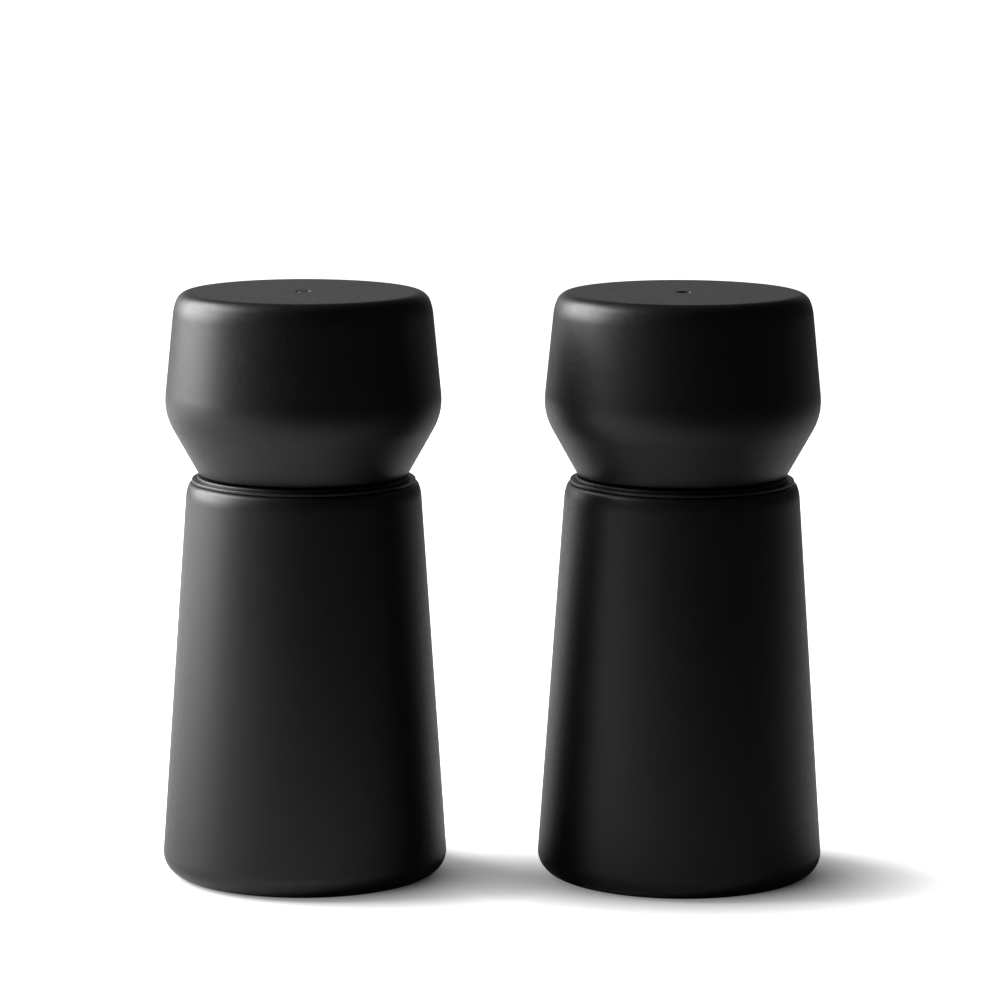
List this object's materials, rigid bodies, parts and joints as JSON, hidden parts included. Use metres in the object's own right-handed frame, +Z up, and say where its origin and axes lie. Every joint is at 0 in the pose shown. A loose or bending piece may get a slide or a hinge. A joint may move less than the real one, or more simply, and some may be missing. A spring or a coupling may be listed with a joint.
{
  "type": "salt and pepper mills",
  "caption": "Matte black salt and pepper mills with tapered bodies, ridged flat-topped heads that turn to grind and lift off to refill, and ceramic grinders set by a knob below.",
  "frame": {"origin": "on the table, midway between the axes of the two mills", "axes": "+Z up, +X from the salt mill to the pepper mill, +Y away from the viewer of the picture"},
  "size_m": [0.1382, 0.0594, 0.1226],
  "materials": {
    "black_lacquer": "smooth matte black lacquer on turned beech",
    "collar_plastic": "moulded, fine texture, black",
    "grey_plastic": "moulded, fine texture, dark grey",
    "knob_plastic": "moulded, black, fluted grip",
    "bush_plastic": "natural bearing plastic",
    "shaft_aluminium": "drawn bar, fine lines along its length",
    "spring_steel": "bright spring steel",
    "grinder_ceramic": "unglazed fired ceramic",
    "grip_rubber": "black moulded rubber"
  },
  "bodies": {
    "salt_body": {"salt_body_shell": "black_lacquer", "salt_neck_collar": "collar_plastic", "salt_grinder_housing": "grey_plastic", "salt_ceramic_ring": "grinder_ceramic", "salt_retaining_ring": "spring_steel", "salt_bearing_bush": "bush_plastic", "salt_housing_screw_1": "spring_steel", "salt_housing_screw_2": "spring_steel"},
    "salt_shaft": {"salt_drive_shaft": "shaft_aluminium", "salt_shaft_clip": "spring_steel", "salt_thrust_washer": "spring_steel", "salt_grinder_spring": "spring_steel"},
    "salt_rotor": {"salt_rotor_carrier": "grey_plastic", "salt_ceramic_cone": "grinder_ceramic"},
    "salt_adjuster": {"salt_adjust_knob": "knob_plastic"},
    "salt_head": {"salt_head_shell": "black_lacquer", "salt_head_insert": "grey_plastic", "salt_grip_ring": "grip_rubber"},
    "pepper_body": {"pepper_body_shell": "black_lacquer", "pepper_neck_collar": "collar_plastic", "pepper_grinder_housing": "grey_plastic", "pepper_ceramic_ring": "grinder_ceramic", "pepper_retaining_ring": "spring_steel", "pepper_bearing_bush": "bush_plastic", "pepper_housing_screw_1": "spring_steel", "pepper_housing_screw_2": "spring_steel"},
    "pepper_shaft": {"pepper_drive_shaft": "shaft_aluminium", "pepper_shaft_clip": "spring_steel", "pepper_thrust_washer": "spring_steel", "pepper_grinder_spring": "spring_steel"},
    "pepper_rotor": {"pepper_rotor_carrier": "grey_plastic", "pepper_ceramic_cone": "grinder_ceramic"},
    "pepper_adjuster": {"pepper_adjust_knob": "knob_plastic"},
    "pepper_head": {"pepper_head_shell": "black_lacquer", "pepper_head_insert": "grey_plastic", "pepper_grip_ring": "grip_rubber"}
  },
  "joints": [
    {"name": "salt_grind", "type": "hinge", "parent": "salt_body", "child": "salt_shaft", "pos_m": [-0.03935, 0, 0.0326], "axis": [0, 0, 1], "continuous": true},
    {"name": "salt_head_lift", "type": "slide", "parent": "salt_shaft", "child": "salt_head", "axis": [0, 0, 1], "range_m": [0, 0.06]},
    {"name": "salt_rotor_slide", "type": "slide", "parent": "salt_shaft", "child": "salt_rotor", "axis": [0, 0, 1], "range_m": [0, 0.00125], "deforming": ["salt_grinder_spring"]},
    {"name": "salt_adjust_turn", "type": "hinge", "parent": "salt_rotor", "child": "salt_adjuster", "pos_m": [-0.03935, 0, 0.0087], "axis": [0, 0, 1], "range_deg": [0, 450]},
    {"name": "pepper_lift", "type": "slide", "parent": "salt_body", "child": "pepper_body", "axis": [0, 0, 1], "range_m": [0, 0.15]},
    {"name": "pepper_grind", "type": "hinge", "parent": "pepper_body", "child": "pepper_shaft", "pos_m": [0.03935, 0, 0.0326], "axis": [0, 0, 1], "continuous": true},
    {"name": "pepper_head_lift", "type": "slide", "parent": "pepper_shaft", "child": "pepper_head", "axis": [0, 0, 1], "range_m": [0, 0.06]},
    {"name": "pepper_rotor_slide", "type": "slide", "parent": "pepper_shaft", "child": "pepper_rotor", "axis": [0, 0, 1], "range_m": [0, 0.00125], "deforming": ["pepper_grinder_spring"]},
    {"name": "pepper_adjust_turn", "type": "hinge", "parent": "pepper_rotor", "child": "pepper_adjuster", "pos_m": [0.03935, 0, 0.0087], "axis": [0, 0, 1], "range_deg": [0, 450]}
  ],
  "couplings": [
    {"joint": "salt_adjust_turn", "follows": "salt_rotor_slide", "rad_per_m": 6283.2},
    {"joint": "pepper_adjust_turn", "follows": "pepper_rotor_slide", "rad_per_m": 6283.2}
  ]
}
